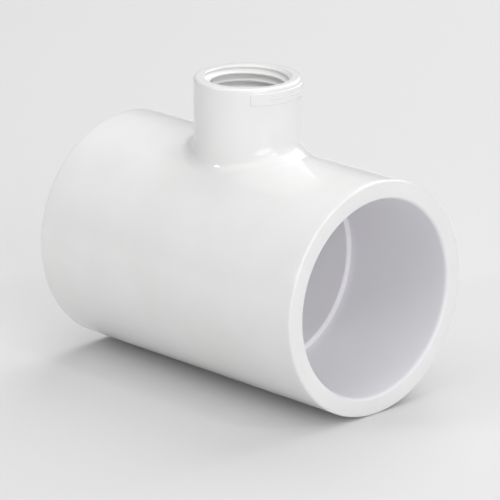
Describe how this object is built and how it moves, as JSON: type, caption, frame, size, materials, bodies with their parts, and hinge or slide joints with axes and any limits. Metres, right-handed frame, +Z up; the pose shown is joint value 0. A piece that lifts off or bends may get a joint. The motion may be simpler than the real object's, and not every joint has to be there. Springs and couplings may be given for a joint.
{
  "type": "pvc tee fitting",
  "caption": "One-piece white PVC reducing tee: two slip sockets in line and a small female-threaded branch, held here as named regions of one moulding.",
  "frame": {"origin": "where the run's axis and the branch's axis cross, the point that a fitting's laying lengths are measured from", "axes": "+X along the run, +Z up the branch and out of its threaded mouth"},
  "size_m": [0.0876, 0.0576, 0.075],
  "materials": {
    "white_pvc": "as-moulded semi-gloss"
  },
  "bodies": {
    "root": {"run_centre": "white_pvc", "run_socket_right": "white_pvc", "run_socket_left": "white_pvc", "branch_hub": "white_pvc", "marking_pad": "white_pvc"}
  },
  "joints": []
}
